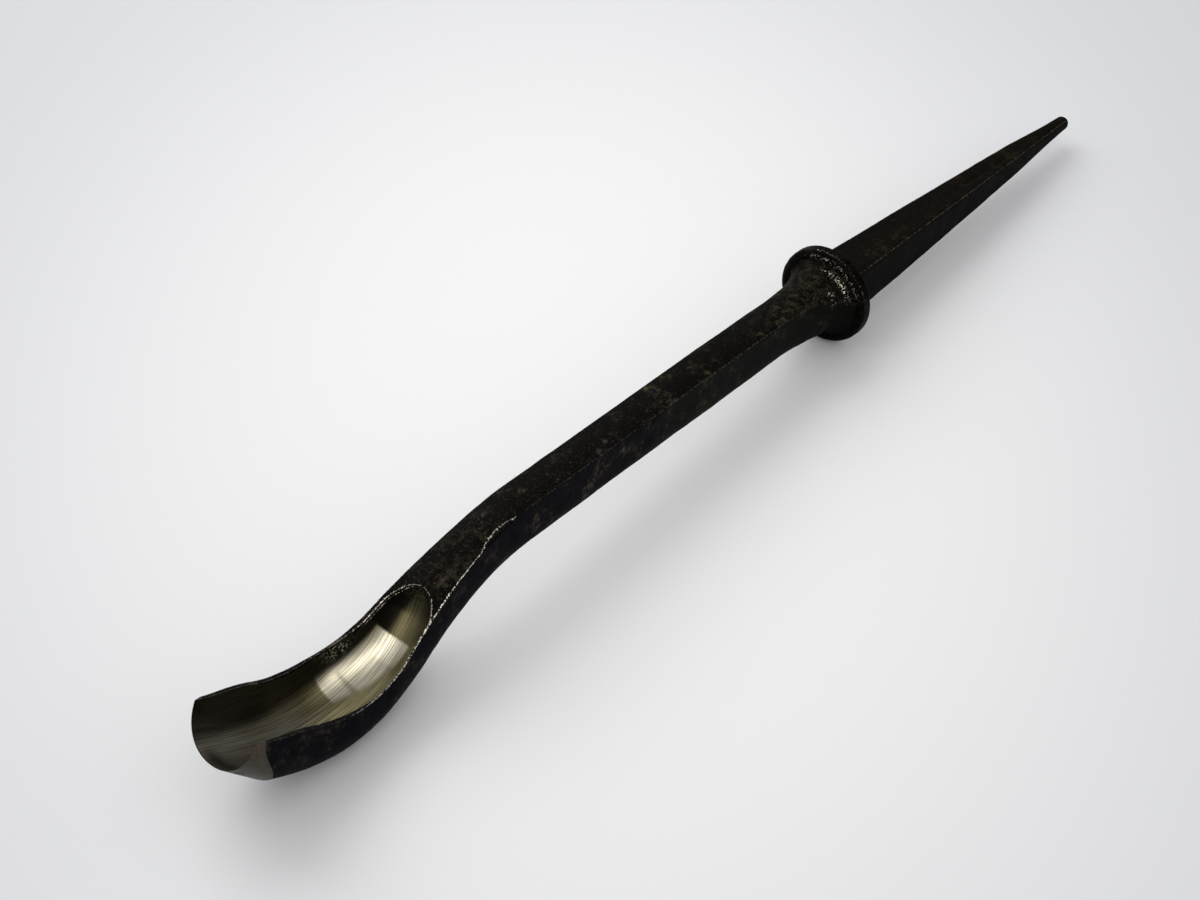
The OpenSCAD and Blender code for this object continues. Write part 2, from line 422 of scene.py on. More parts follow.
def from_edges(points, edges):
    """Distance in mm along each loop to the nearest of its edges, which edge that is, and the way round."""
    step = np.linalg.norm(np.roll(points, -1, 1) - points, axis=-1)
    length = np.concatenate([np.zeros((len(points), 1)), np.cumsum(step, 1)], 1)
    total, length = length[:, -1:], length[:, :-1]
    gaps = np.stack([np.abs(length - length[:, e:e + 1]) for e in edges])
    gaps = np.minimum(gaps, total - gaps)
    return gaps.min(0), gaps.argmin(0), length


def new_object(name, data):
    made = bpy.data.objects.new(name, data)
    bpy.context.scene.collection.objects.link(made)
    return made


def make_piece(name, rings, layers, uv, finish_of=lambda i, j: 0, capped=True):
    """A closed skin over rings of points in mm. finish_of gives a face's finish from its ring and place."""
    count, n = rings.shape[:2]
    x, z = laid(rings[..., 0], rings[..., 2])
    points = np.stack([x - MIDDLE, rings[..., 1], z + LIFT], -1).reshape(-1, 3) * MM
    faces, slots, corners = [], [], []
    for i in range(count - 1):
        for j in range(n):
            k = (j + 1) % n
            faces.append((i * n + j, i * n + k, (i + 1) * n + k, (i + 1) * n + j))
            slots.append(finish_of(i, j))
            corners += [(i, j), (i, j + 1), (i + 1, j + 1), (i + 1, j)]
    skin_faces = len(faces)
    for row, flip in ((0, False), (count - 1, True)) if capped else ():
        for j in range(n // 2 - 1):
            ring = (j, n - 1 - j, n - 2 - j, j + 1)
            ring = ring[::-1] if flip else ring
            faces.append(tuple(row * n + k for k in ring))
            slots.append(finish_of(min(row, count - 2), j))
            corners += [(row, k) for k in ring]
    mesh = bpy.data.meshes.new(name)
    mesh.from_pydata(points.tolist(), [], faces)
    mesh.polygons.foreach_set("material_index", slots)
    mesh.polygons.foreach_set("use_smooth", [True] * len(faces))
    # One more column goes on past the last, so that the map doesn't fold back where the loop closes
    closing = uv[:, :1].copy()
    closing[..., 1] = 2 * uv[:, -1:, 1] - uv[:, -2:-1, 1]
    wide = np.concatenate([uv, closing], 1)
    i, j = np.array(corners).T
    mesh.uv_layers.new(name="Grain").data.foreach_set("uv", wide[i, j].astype(np.float32).ravel())
    for key, values in layers.items():
        attribute = mesh.attributes.new(key, "FLOAT", "POINT")
        attribute.data.foreach_set("value", values.astype(np.float32).ravel())
    mesh.validate()
    mesh.update()
    piece = new_object(name, mesh)
    work = bmesh.new()
    work.from_mesh(mesh)
    # Edges are sharp where one finish meets another, and round the caps
    for edge in work.edges:
        sides = {(face.material_index, face.index < skin_faces) for face in edge.link_faces}
        edge.smooth = len(sides) == 1
    bmesh.ops.recalc_face_normals(work, faces=work.faces)
    work.to_mesh(mesh)
    work.free()
    return piece


# ---- loops of the bar, from the near ridge: under the bar to the far ridge, then back over the top, with a
# land between each ridge and the hollow

WALL_N = 124
LAND_N = 10
HOLLOW_N = 92


def crowded(n, pull):
    """Angles from 0 to pi that crowd towards both ends."""
    u = np.linspace(0, 1, n)
    return math.pi * u - pull * np.sin(2 * math.pi * u) / 2


WALL_PHI = crowded(WALL_N, 0.8)
HOLLOW_PHI = crowded(HOLLOW_N, 0.6)
LAND = (np.arange(LAND_N) + 1) / (LAND_N + 1)
NEAR_RIDGE, FAR_RIDGE = 0, WALL_N - 1
FAR_RIM = WALL_N + LAND_N
NEAR_RIM = FAR_RIM + HOLLOW_N - 1
IN_HOLLOW = slice(FAR_RIM, NEAR_RIM + 1)


def section(wall_s, hollow_s):
    """Closed loops at stations that may differ from point to point."""
    wy, wh = wall(wall_s, WALL_PHI)
    hy, hh = hollow(hollow_s[:, ::-1], HOLLOW_PHI[::-1])
    far_s, near_s = wall_s[:, -1:], wall_s[:, :1]
    far_y = mix(wy[:, -1:], hy[:, :1], LAND)
    near_y = mix(hy[:, -1:], wy[:, :1], LAND)
    y = np.concatenate([wy, far_y, hy, near_y], 1)
    h = np.concatenate([wh, top_z(far_s, far_y), hh, top_z(near_s, near_y)], 1)
    land_s = [np.repeat(end, LAND_N, 1) for end in (far_s, near_s)]
    return np.concatenate([wall_s, land_s[0], hollow_s[:, ::-1], land_s[1]], 1), y, h


def even_section(s):
    s = np.asarray(s)[:, None]
    return section(np.repeat(s, WALL_N, 1), np.repeat(s, HOLLOW_N, 1))


# A distance from every edge at which nothing is rubbed
UNTOUCHED = 9.0


def file_flat(s, y, h):
    """Cuts the file's flat, and gives the distance from its rubbed border, or nan outside it."""
    depth = FLAT_DEPTH * np.sin(np.pi * np.clip((s - FLAT_FROM) / (FLAT_TO - FLAT_FROM), 0, 1))
    from_side, from_top = y + half_w(s), h - side_h(s)
    beyond = from_side * FLAT_OUT_Y + from_top * FLAT_OUT_H + depth
    over = np.where((y < 0) & (depth > 0), np.maximum(beyond, 0), 0)
    # Only the upper border is rubbed bright, and more narrowly than a ridge is
    lower = from_side * FLAT_OUT_H - from_top * FLAT_OUT_Y < 0
    border = np.abs(beyond) * FLAT_BORDER_NARROWER + UNTOUCHED * lower
    border = np.where((y < 0) & (depth > FLAT_LEAST_DEPTH), border, np.nan)
    return y - over * FLAT_OUT_Y, h - over * FLAT_OUT_H, border


# ---- what hand, wheel and oil left on the skins, with painted light and shade, as layers that the materials read
# Stations and widths are in mm. Turns round the hollow are in degrees: 0 at the near rim, 90 at the bottom,
# 180 at the far rim. Two numbers are where a mark sets in or fades, four are where it sets in and then fades.

# How brightly each edge is rubbed: changes of the share along the bar, and the stations between which each
# sets in, for the near ridge, the far ridge, the hollow's far rim and its near rim
SHINES = (
    ((0.08, 3, 24), (0.92, 80, 83), (-0.6, 99, 110), (-0.35, 110, 118)),
    ((0.1, 10, 30), (0.35, 87, 92), (-0.37, 95, 100)),
    ((0.75, HOLLOW_AT - 0.2, HOLLOW_AT), (-0.6375, 96, 104)),
    ((0.75, HOLLOW_AT - 0.2, HOLLOW_AT), (-0.69, 101, 112)),
)
FLAT_SHINE = 0.85
TANG_SHINE = 0.1
# The chamfer's lower edge is rubbed too, between these stations, and the far rim more broadly at one place
CHAMFER_RUBBED = HOLLOW_AT + 0.4, 99
BROADER_BY, BROADER_AT, BROADER_LEN = 0.12, 105, 1.8
BROADER_N = 12
# The wheel missed a place high on the far wall, and the scale on top of the neck is blotchy
MISSED_AT, MISSED_LEN = 105.2, 2.4
MISSED_TURN = 150, 165
NECK_BLOTCH = 0.4
NECK_BLOTCH_SPAN = 76, 82, 88, 94
# A smear of oil across the mouth
SMEAR = 0.75
SMEAR_AT, SMEAR_LEN = 134.9, 1.2
SMEAR_Y = -0.7
SMEAR_HALF_W = 2, 4
# Painted shade darkens the far wall: low down at first, then in a strip, which is lighter at the mouth.
# The strip gets broader over two stretches, by so many degrees a mm. The blunt end is painted darker too, as
# shade.
END_SHADE = 0.97
END_SHADE_TURN = 100, 132
END_SHADE_TO = 97.5, 97.8
WALL_SHADE = 0.94
WALL_SHADE_TURN = 144, 160
WALL_SHADE_GROWS = ((0.9, 98, 106), (0.81, 114, 132))
WALL_SHADE_LIGHTER = 0.12
WALL_SHADE_LIGHTER_FROM = 108, 118
DARK_END = 0.8
DARK_END_TO = 91.5, 96
# A painted reflection lies as a bright patch on the belly, whose near border runs aslant. It is dimmer on
# its nearer part, a dark line of painted shade crosses it, and a painted highlight marks a narrow facet that
# runs along it. No lamp above the bench can place this reflection there.
REFLECTION_PATCH = 0.84
PATCH_SPAN = 97.5, 97.8, 110.8, 111.3
PATCH_NEAR_TURN, PATCH_NEAR_AT, PATCH_NEAR_SLANT = 74, 98, 3.0
PATCH_NEAR_BLUR = -10, 6
PATCH_FAR_TURN = 149, 156
REFLECTION_DIMMER = 0.27
REFLECTION_DIMMER_FROM = 101.2, 101.9
REFLECTION_DIMMER_TURN = 118, 132
REFLECTION_GAP = 0.62
REFLECTION_GAP_AT, REFLECTION_GAP_LEN = 107.4, 0.45
REFLECTION_GAP_TURN = 86, 98, 134, 142
REFLECTION_GAP_MIDDLE_TURN, REFLECTION_GAP_SLANT = 120, 0.01
FACET_HIGHLIGHT = 0.3
FACET_TURN, FACET_WIDTH = 133, 1.3
FACET_SPAN = 99, 100, 110.5, 111.5
FACET_MIDDLE_AT, FACET_SLANT = 105, 0.1
# The rest of the hollow is duller, lighter towards the mouth, darkest at its blunt end and near wall
GROUND = 0.13
MOUTH_LIGHTER = 0.45
MOUTH_LIGHTER_FROM = 114, 122
FAR_DULLER = 0.3
FAR_DULLER_FROM, FAR_DULLER_TURN = (116, 124), (125, 150)
BACK_DULLER = ((0.17, 97, 98), (0.1, 93, 96))
NEAR_DULLER = 0.12
NEAR_DULLER_TO, NEAR_DULLER_TURN = (116, 122), (70, 84)
# Painted glints of pale metal sit where the flare turns up into the collar, on the side above the near
# face, where light catches it
GLINT_CLIMB = 12, 30, 70, 95
GLINT_AT, GLINT_LEN = 2.9, 0.35
LOW_GLINT = 0.7
LOW_GLINT_AT, LOW_GLINT_LEN = 5.2, 0.3
LOW_GLINT_CLIMB = 45, 60
# The scale on top of the shank is blotchy at the weld and towards the collar
WELD_BLOTCH = 1.6
WELD_BLOTCH_AT, WELD_BLOTCH_LEN = 43.7, 1.1
FOOT_BLOTCH = 0.6
FOOT_BLOTCH_TO = 8, 28


def climb(points):
    """Angle in degrees round the bar's axis, from 0 on the near side to 90 on top."""
    return np.degrees(np.arctan2(points[..., 2], -points[..., 1]))


def changes_along(s, changes):
    return sum(amount * ease(a, b, s) for amount, a, b in changes)


def bar_layers(points, s, edges):
    """The layers that blade and shank share, and the map of their skin in mm."""
    gap, which, girth = from_edges(points, edges)
    upper = np.zeros(gap.shape)
    upper[:, WALL_N:] = 1
    shine = np.choose(which, [changes_along(s, changes) for changes in SHINES])
    across = girth - girth[:, FAR_RIM + HOLLOW_N // 2][:, None]
    across[:, :WALL_N] = girth[:, :WALL_N] - girth[:, WALL_N // 2][:, None]
    return {"from_edge": gap, "shine": shine, "upper": upper}, np.stack([s, across], -1)


def smudge_and_shade_layer(s, turn, y):
    """Where oil darkens the hollow, and painted shade darkens its far wall and blunt end."""
    smear = SMEAR * spot(s, SMEAR_AT, SMEAR_LEN) * fall(*SMEAR_HALF_W, np.abs(y - SMEAR_Y))
    # Apart from the oil smear, these darkenings are painted shade in the hollow's far wall and blunt end
    end_shade = END_SHADE * ease(*END_SHADE_TURN, turn) * fall(*END_SHADE_TO, s)
    grown = sum(rate * (np.clip(s, a, b) - a) for rate, a, b in WALL_SHADE_GROWS)
    lighter_at_mouth = 1 - WALL_SHADE_LIGHTER * ease(*WALL_SHADE_LIGHTER_FROM, s)
    wall_shade = WALL_SHADE * ease(*WALL_SHADE_TURN, turn + grown) * lighter_at_mouth
    dark_end = DARK_END * fall(*DARK_END_TO, s)
    return np.maximum.reduce([smear, end_shade, wall_shade, dark_end])


def ground_layer(s, turn):
    """How bright the hollow's steel is: the grind's tone, a painted reflection on the belly and a painted
    highlight along a facet.
    """
    # The patch is a painted reflection, the dark line across it painted shade, and the facet's bright line a
    # painted highlight
    near = PATCH_NEAR_TURN + PATCH_NEAR_SLANT * (s - PATCH_NEAR_AT)
    reflection_patch = band(s, *PATCH_SPAN) * ease(near + PATCH_NEAR_BLUR[0], near + PATCH_NEAR_BLUR[1], turn)
    reflection_patch = reflection_patch * fall(*PATCH_FAR_TURN, turn)
    dimmer_part = ease(*REFLECTION_DIMMER_FROM, s) * fall(*REFLECTION_DIMMER_TURN, turn)
    reflection_gap = spot(s + REFLECTION_GAP_SLANT * (turn - REFLECTION_GAP_MIDDLE_TURN), REFLECTION_GAP_AT, REFLECTION_GAP_LEN) * band(turn, *REFLECTION_GAP_TURN)
    facet_highlight = spot(turn - FACET_SLANT * (s - FACET_MIDDLE_AT), FACET_TURN, FACET_WIDTH) * band(s, *FACET_SPAN)
    rest = (
        GROUND
        + MOUTH_LIGHTER * ease(*MOUTH_LIGHTER_FROM, s)
        - FAR_DULLER * ease(*FAR_DULLER_FROM, s) * ease(*FAR_DULLER_TURN, turn)
        - NEAR_DULLER * fall(*NEAR_DULLER_TO, s) * fall(*NEAR_DULLER_TURN, turn)
        - sum(amount * fall(a, b, s) for amount, a, b in BACK_DULLER)
    )
    return np.clip(rest + REFLECTION_PATCH * reflection_patch * (1 - REFLECTION_DIMMER * dimmer_part) * (1 - REFLECTION_GAP * reflection_gap) + FACET_HIGHLIGHT * facet_highlight, 0, 1)


# ---- the pieces

BLADE_FORGED, BLADE_HOLLOW, BLADE_BEVEL = 0, 1, 2
NECK_RINGS, BROW_RINGS, APEX_RINGS, BOWL_RINGS, BEVEL_RINGS = 110, 22, 64, 96, 9
# Rings crowd towards the hollow's start from this far before it
BROW_LEN = 3
# Grinding evened out most of the hammer's work in the hollow and near the mouth, and all of it on the bevel
HOLLOW_CALM = 0.72
HOLLOW_CALM_FROM = HOLLOW_AT - 0.1, HOLLOW_AT + 0.5
MOUTH_CALM = 0.85
MOUTH_CALM_FROM = EDGE_AT - 12, EDGE_AT - 3


def make_blade():
    neck = np.linspace(WELD_AT, HOLLOW_AT - BROW_LEN, NECK_RINGS)[:-1]
    brow = HOLLOW_AT - BROW_LEN * (1 - np.linspace(0, 1, BROW_RINGS)[:-1]) ** 1.5
    apex = mix(HOLLOW_AT, LEAN_FROM, np.linspace(0, 1, APEX_RINGS)[:-1] ** 2)
    straight = even_section(np.concatenate([neck, brow, apex]))
    # From here on the rings lean, so that the last of them lies along the bevel's start
    k = np.linspace(0, 1, BOWL_RINGS)[:, None]
    leaning = section(mix(LEAN_FROM, bevel_start(WALL_PHI), k), mix(LEAN_FROM, bevel_start(HOLLOW_PHI), k))
    s, y, h = (np.concatenate(pair) for pair in zip(straight, leaning))
    y, h, border = file_flat(s, y, h)
    row = s.mean(1)
    softness = mix(BAR_SOFTNESS, RIM_SOFTNESS, ease(HOLLOW_AT - RIM_SHARPENS_OVER, HOLLOW_AT, row))
    softness = softness * (1 - MOUTH_SHARPER * ease(LEAN_FROM, EDGE_AT - MOUTH_SHARP_BEFORE, row))
    loops = smooth_loops(np.stack([y, h], -1), softness)
    points = place(s, loops[..., 0], loops[..., 1])
    bevel_at = len(points) - 1

    # The bevel is flat from its start to the edge along every line of the grind
    outer = place(EDGE_S, *edge_outer(WALL_PHI))
    inner = place(EDGE_S, *hollow(EDGE_S, HOLLOW_PHI))[::-1]
    far_land, near_land = mix(outer[-1], inner[0], LAND[:, None]), mix(inner[-1], outer[0], LAND[:, None])
    ramp = (np.arange(BEVEL_RINGS) + 1)[:, None, None] / BEVEL_RINGS
    bevel = mix(points[-1], np.concatenate([outer, far_land, inner, near_land]), ramp)
    points = np.concatenate([points, bevel])
    station = np.concatenate([s, mix(s[-1:], EDGE_AT, ramp[..., 0])])

    calm = np.ones(station.shape)
    calm[:bevel_at] = MOUTH_CALM * ease(*MOUTH_CALM_FROM, row)[:bevel_at, None]
    in_hollow = station[:, IN_HOLLOW]
    ground_calm = HOLLOW_CALM * ease(*HOLLOW_CALM_FROM, in_hollow)
    calm[:, IN_HOLLOW] = np.maximum(calm[:, IN_HOLLOW], ground_calm)
    points = hammered(points, calm)

    layers, uv = bar_layers(points, station, [NEAR_RIDGE, FAR_RIDGE, FAR_RIM, NEAR_RIM])
    turn = np.zeros(station.shape)
    turn[:, IN_HOLLOW] = np.degrees(HOLLOW_PHI[::-1])
    missed = spot(station, MISSED_AT, MISSED_LEN) * ease(*MISSED_TURN, turn)
    blotch = NECK_BLOTCH * layers["upper"] * band(station, *NECK_BLOTCH_SPAN)
    layers["blotch"] = np.maximum(missed, blotch)
    # This layer also carries painted shade on the hollow's far wall and blunt end
    layers["smudge_and_shade"] = smudge_and_shade_layer(station, turn, points[..., 1])
    # This layer also carries the painted reflection and painted highlight on the belly
    layers["ground"] = ground_layer(station, turn)

    rows = in_hollow.mean(1)
    depth = hollow_depth(in_hollow) * superellipse(HOLLOW_PHI[::-1], HOLLOW_SQUARE)[1]
    chamfer = (depth < RIM_BREAK_D) & (rows < RIM_BREAK_TO)[:, None]
    rubbed_from, rubbed_to = CHAMFER_RUBBED
    beyond = np.where((rows > rubbed_from) & (rows < rubbed_to), 0.0, UNTOUCHED)[:, None]
    gap, shine = layers["from_edge"], layers["shine"]
    gap[:, IN_HOLLOW] = np.minimum(gap[:, IN_HOLLOW], beyond + np.abs(depth - RIM_BREAK_D))
    far_rim = slice(WALL_N, FAR_RIM + BROADER_N)
    gap[:, far_rim] -= BROADER_BY * spot(station[:, far_rim], BROADER_AT, BROADER_LEN)
    filed = np.isfinite(border)
    gap[:len(border)][filed] = border[filed]
    shine[:len(border)][filed] = FLAT_SHINE

    def finish_of(i, j):
        if i >= bevel_at and (j < FAR_RIM or j >= NEAR_RIM):
            return BLADE_BEVEL
        k = j - FAR_RIM
        if FAR_RIM <= j < NEAR_RIM and rows[i + 1] > HOLLOW_AT and not chamfer[i:i + 2, k:k + 2].all():
            return BLADE_HOLLOW
        return BLADE_FORGED

    return make_piece("blade_forging", points, layers, uv, finish_of)


FLARE_RINGS, SHANK_RINGS = 60, 70
# The hammer's work fades in from the collar on, the fire pitted the foot, and corners sharpen to the weld
SEAT_CALM = 0.9
SEAT_CALM_LEN = 1.5
PITTED_SPAN = SEAT_AT, SEAT_AT + 1, 7, 13
SHARPENS_OVER = 6, 36


def make_shank():
    foot = mix(SEAT_AT, SEAT_AT + FLARE_LEN, np.linspace(0, 1, FLARE_RINGS)[:-1] ** 2)
    rows = np.concatenate([foot, np.linspace(SEAT_AT + FLARE_LEN, WELD_AT, SHANK_RINGS)])
    s, y, h = even_section(rows)
    softness = mix(FOOT_SOFTNESS, BAR_SOFTNESS, ease(*SHARPENS_OVER, rows))
    loops = smooth_loops(np.stack([y, h], -1), softness)
    calm = SEAT_CALM * fall(SEAT_AT, SEAT_AT + SEAT_CALM_LEN, s)
    points = hammered(place(s, loops[..., 0], loops[..., 1]), calm)
    pits = lumps(points, *FOOT_PITS) * band(s, *PITTED_SPAN)
    points = points + grid_normals(points) * pits[..., None]
    layers, uv = bar_layers(points, s, [NEAR_RIDGE, FAR_RIDGE])
    up_side = climb(points)
    # Painted glints where light catches the flare's turn into the collar
    ring = spot(s, GLINT_AT, GLINT_LEN)
    ring = ring + LOW_GLINT * spot(s, LOW_GLINT_AT, LOW_GLINT_LEN) * fall(*LOW_GLINT_CLIMB, up_side)
    layers["glint"] = np.minimum(1, ring * band(up_side, *GLINT_CLIMB))
    weld = WELD_BLOTCH * spot(s, WELD_BLOTCH_AT, WELD_BLOTCH_LEN)
    layers["blotch"] = layers["upper"] * np.maximum(weld, FOOT_BLOTCH * fall(*FOOT_BLOTCH_TO, s))
    return make_piece("shank_forging", points, layers, uv)


def square_loop(half, corner, side_n, corner_n):
    """Rounded square, anticlockwise from the lower end of its right side."""
    pts = []
    flat = half - corner
    for c in range(4):
        a = math.pi / 2 * c
        turned = np.array([[math.cos(a), -math.sin(a)], [math.sin(a), math.cos(a)]])
        for k in range(side_n):
            pts.append(turned @ np.array([half, mix(-flat, flat, k / side_n)]))
        for k in range(corner_n):
            b = math.pi / 2 * k / corner_n
            pts.append(turned @ np.array([flat + corner * math.cos(b), flat + corner * math.sin(b)]))
    return np.array(pts)


TANG_SIDE_N = 22
TANG_CORNER_N = 8
QUARTER_N = TANG_SIDE_N + TANG_CORNER_N
ROOT_RINGS, TAPER_RINGS, TIP_RINGS = 5, 230, 12
# The hammer's work fades in behind the collar and half out again at the tip, and the rubbed edges fade in
ROOT_CALM_LEN, TIP_CALM_LEN, TIP_CALM = 1.5, 3, 0.5
SHINE_FADE_IN = 8


def make_tang():
    half, tip = TANG_W / 2, TANG_TIP_W / 2
    tip_at = TANG_LEN - tip
    dome = np.linspace(0, math.pi / 2, TIP_RINGS)[1:-1]
    root, taper = np.linspace(-SEAT_AT, 0, ROOT_RINGS)[:-1], np.linspace(0, tip_at, TAPER_RINGS)
    x = np.concatenate([root, taper, tip_at + tip * np.sin(dome)])
    reach = np.where(x <= 0, half, mix(half, tip, np.clip(x / tip_at, 0, 1) ** TANG_FULLNESS))
    reach[-len(dome):] = tip * np.cos(dome)
    share = mix(TANG_CORNER / half, TIP_ROUND_SHARE, ease(tip_at * (1 - TIP_ROUND_RUN), tip_at, x))
    yz = np.stack([square_loop(r, c * r, TANG_SIDE_N, TANG_CORNER_N) for r, c in zip(reach, share)])
    along = np.repeat(x[:, None], 4 * QUARTER_N, 1)
    points = np.concatenate([along[..., None], yz], 2)
    fold = spot(points[..., 1], FOLD_Y, FOLD_HALF_W) * band(along, *FOLD_SPAN)
    fold = fold * (points[..., 2] > 0.5 * reach[:, None])
    points = points - grid_normals(points) * (FOLD_DEPTH * fold)[..., None]
    # The near upper corner is knocked off beside the collar, along a plane that rises out of the bar
    plane = half * math.sqrt(2) - KNOCK_DEPTH + KNOCK_RISE * ease(0, KNOCK_LEN, along)
    over = (points[..., 2] - points[..., 1]) / math.sqrt(2) - plane
    knocked = np.maximum(0, over) * fall(0, KNOCK_LEN, along) * (along > 0)
    points = points - np.array([0, -1, 1]) / math.sqrt(2) * knocked[..., None]
    tip_calm = TIP_CALM * ease(tip_at - TIP_CALM_LEN, TANG_LEN, along)
    points = hammered(points, 1 - ease(0, ROOT_CALM_LEN, along) * (1 - tip_calm))
    corner_middles = [c * QUARTER_N + TANG_SIDE_N + TANG_CORNER_N // 2 for c in range(4)]
    gap, _, girth = from_edges(points, corner_middles)
    upper = np.zeros(gap.shape)
    upper[:, QUARTER_N:2 * QUARTER_N] = 1
    layers = {"from_edge": gap, "shine": TANG_SHINE * ease(0, SHINE_FADE_IN, along), "upper": upper}
    return make_piece("tang_forging", points, layers, np.stack([along, girth], -1))


COLLAR_TURNS = 240
COLLAR_GIRTH = 50
# The collar is rubbed along one line on the bead, a little all round; the extra on its upper near side is a
# painted highlight where light falls
RUBBED_R, RUBBED_X = BOLSTER_R - 0.15, 0.7 - BOLSTER_T
COLLAR_SHINE = 0.03, 0.3
COLLAR_CLIMB = 10, 40, 95, 125
# Painted glints sit on the front, inside the bead, where light catches it
COLLAR_GLINT = 0.9
COLLAR_GLINT_SPAN = FOOT_R - 0.3, FOOT_R + 0.2, 7.2, 7.6
COLLAR_GLINT_BEFORE = -1.5
# The hammer's work begins this far out, and the back is filed nearly flat
COLLAR_CALM_TO = TANG_W / 2 + 1.6, TANG_W / 2 + 2.4
BACK_LUMPS = 0.15


def make_bolster():
    """A collar of closed profiles, one at each angle, over bore, back, rim, bead and front."""
    angle = 2 * math.pi * np.arange(COLLAR_TURNS) / COLLAR_TURNS
    outline = square_loop(TANG_W / 2, TANG_CORNER, 40, 16)
    bore_at = np.arctan2(outline[:, 1], outline[:, 0])
    bore = np.interp(angle, bore_at, np.hypot(*outline.T), period=2 * math.pi)
    rim = [(BOLSTER_R - BACK_ROUND + BACK_ROUND * math.sin(a), BACK_ROUND * math.cos(a) - BACK_ROUND)
           for a in np.linspace(0, math.pi / 2, 8)]
    bead = [(BOLSTER_R - BEAD_R + BEAD_R * math.cos(a), BEAD_R - BOLSTER_T - BEAD_R * math.sin(a))
            for a in np.linspace(0, math.pi - math.asin(BEAD_DROP / BEAD_R), 30)]
    # Each row is a radius, a place along the axis and a distance from the rubbed line
    rows = [(bore, mix(-SEAT_AT, 0, k), UNTOUCHED) for k in np.linspace(0, 1, 5)[:-1]]
    rows += [(mix(bore, BOLSTER_R - BACK_ROUND, k), 0, UNTOUCHED) for k in np.linspace(0, 1, 14)[:-1]]
    rows += [(r, x, math.hypot(r - RUBBED_R, x - RUBBED_X)) for r, x in rim + bead]
    rows += [(mix(bead[-1][0], bore, k), -SEAT_AT, UNTOUCHED) for k in np.linspace(0, 1, 18)[1:-1]]
    radius, x, gap = (np.stack([row[i] + np.zeros(COLLAR_TURNS) for row in rows]).T for i in range(3))
    angle = angle[:, None]
    points = np.stack([x, radius * np.cos(angle), radius * np.sin(angle)], -1)
    # Pits only, so that the collar stays within its size
    push = sum(lumps(points, *kind) for kind in COLLAR_LUMPS) * ease(*COLLAR_CALM_TO, radius)
    push = np.minimum(0, push * np.where(x > -BACK_ROUND, BACK_LUMPS, 1))
    along = np.roll(points, -1, 0) - np.roll(points, 1, 0)
    points = points + unit(np.cross(around(points), along)) * push[..., None]
    # More shine and the glints on the side that light catches are painted highlights
    lit = band(climb(points), *COLLAR_CLIMB)
    least, more = COLLAR_SHINE
    layers = {
        "from_edge": gap,
        "shine": least + more * lit,
        "upper": np.full(gap.shape, 0.5),
        "glint": COLLAR_GLINT * lit * band(radius, *COLLAR_GLINT_SPAN) * (points[..., 0] < COLLAR_GLINT_BEFORE),
    }
    # The first profile comes again as the last one, and the two are then merged
    points, gap = (np.concatenate([grid, grid[:1]]) for grid in (points, gap))
    layers = {key: np.concatenate([grid, grid[:1]]) for key, grid in layers.items()}
    way_round = np.repeat(np.linspace(0, COLLAR_GIRTH, len(points))[:, None], len(rows), 1)
    collar = make_piece("bolster_collar", points, layers, np.stack([way_round, gap], -1), capped=False)
    welded = bmesh.new()
    welded.from_mesh(collar.data)
    bmesh.ops.remove_doubles(welded, verts=welded.verts, dist=1e-7)
    welded.to_mesh(collar.data)
    welded.free()
    return collar


# ---- materials

NOISE, RANGE, MATH, MIX = "ShaderNodeTexNoise", "ShaderNodeMapRange", "ShaderNodeMath", "ShaderNodeMix"
PRINCIPLED = "ShaderNodeBsdfPrincipled"
# A range's ends and what it gives at them. A colour mix's inputs and result are told apart only by number.
LOW, HIGH, AT_LOW, AT_HIGH = "From Min", "From Max", "To Min", "To Max"
COLOUR_A, COLOUR_B, MIXED = 6, 7, 2


def colour(code):
    """An sRGB hex value as the linear colour that shaders take."""
    parts = [int(code[i:i + 2], 16) / 255 for i in (1, 3, 5)]
    return tuple(v / 12.92 if v <= 0.04045 else ((v + 0.055) / 1.055) ** 2.4 for v in parts) + (1.0,)


def add(tree, kind, settings=None, links=None):
    """Adds one node, sets its properties and sockets, links inputs. A node stands for its first output."""
    made = tree.nodes.new(kind)
    for key, value in (settings or {}).items():
        if isinstance(key, str) and hasattr(made, key):
            setattr(made, key, value)
        else:
            made.inputs[key].default_value = value
    for key, source in (links or {}).items():
        source = source.outputs[0] if isinstance(source, bpy.types.Node) else source
        tree.links.new(source, made.inputs[key])
    return made


def new_material(name, *layers):
    """A material without nodes, its tree, the place in a piece and that place's value in each layer."""
    made = bpy.data.materials.new(name)
    made.use_nodes = True
    tree = made.node_tree
    tree.nodes.clear()
    here = add(tree, "ShaderNodeTexCoord").outputs["Object"]
    read = [add(tree, "ShaderNodeAttribute", {"attribute_name": key}).outputs["Fac"] for key in layers]
    return made, tree, here, *read


def per_mm(mm):
    """Noise scale in object space for lumps of the given size in mm."""
    return 1 / (mm * MM)


